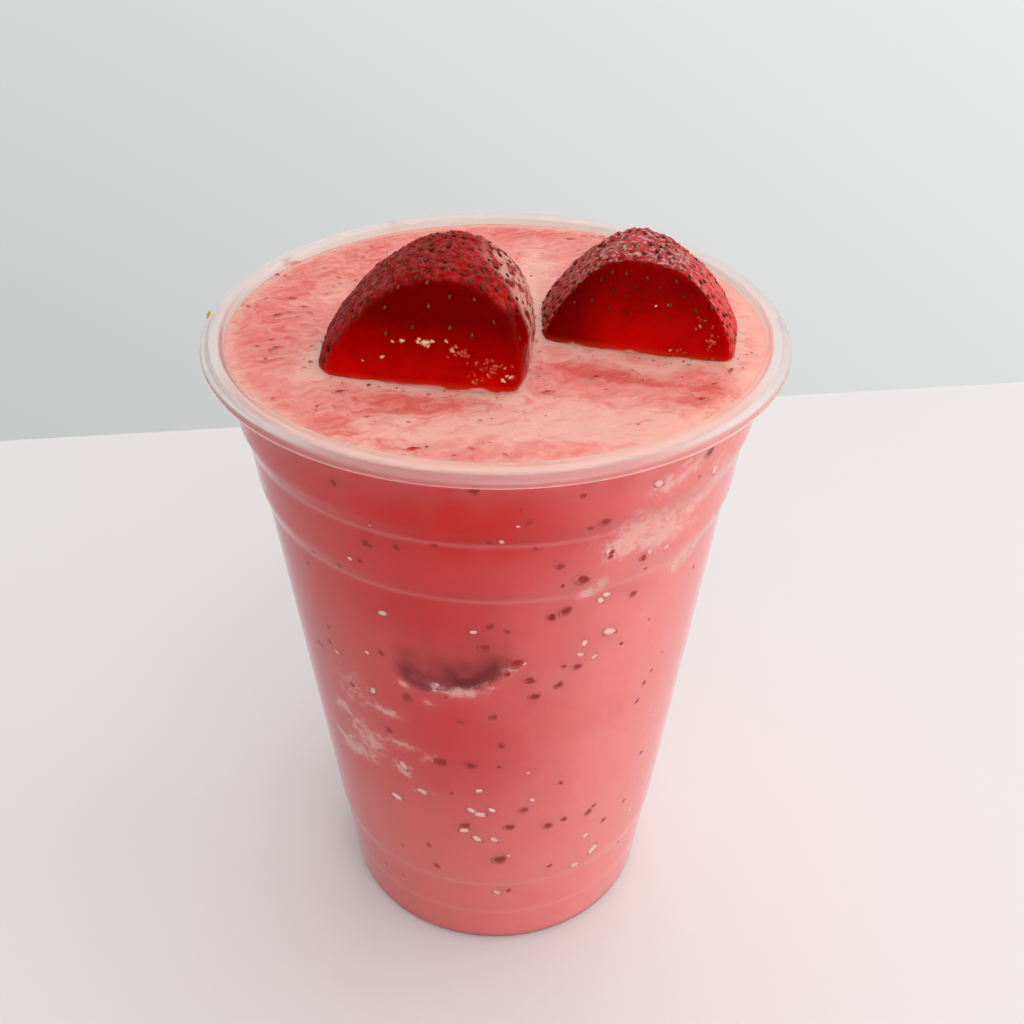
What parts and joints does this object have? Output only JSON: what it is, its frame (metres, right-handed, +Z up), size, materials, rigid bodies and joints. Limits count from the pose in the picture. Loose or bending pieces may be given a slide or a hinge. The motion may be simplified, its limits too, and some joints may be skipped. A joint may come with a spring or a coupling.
{
  "type": "strawberry protein shake",
  "caption": "Clear tapered plastic cup with a rolled rim, filled to the brim with pink strawberry shake, with strawberry pieces floating on top.",
  "frame": {"origin": "middle of the cup's foot, on the surface it stands on", "axes": "+Z up along the cup's axis, -Y towards the side that the berry pieces' cut faces look to"},
  "size_m": [0.095, 0.095, 0.1373],
  "materials": {
    "clear_plastic": "clear, glossy, slightly hazy at the rim",
    "shake": "thick pink drink with paler foam and red pulp",
    "berry": "wet deep red flesh and pitted skin with seeds"
  },
  "bodies": {
    "root": {"cup": "clear_plastic", "shake": "shake", "berry_left": "berry", "berry_right": "berry"}
  },
  "joints": []
}
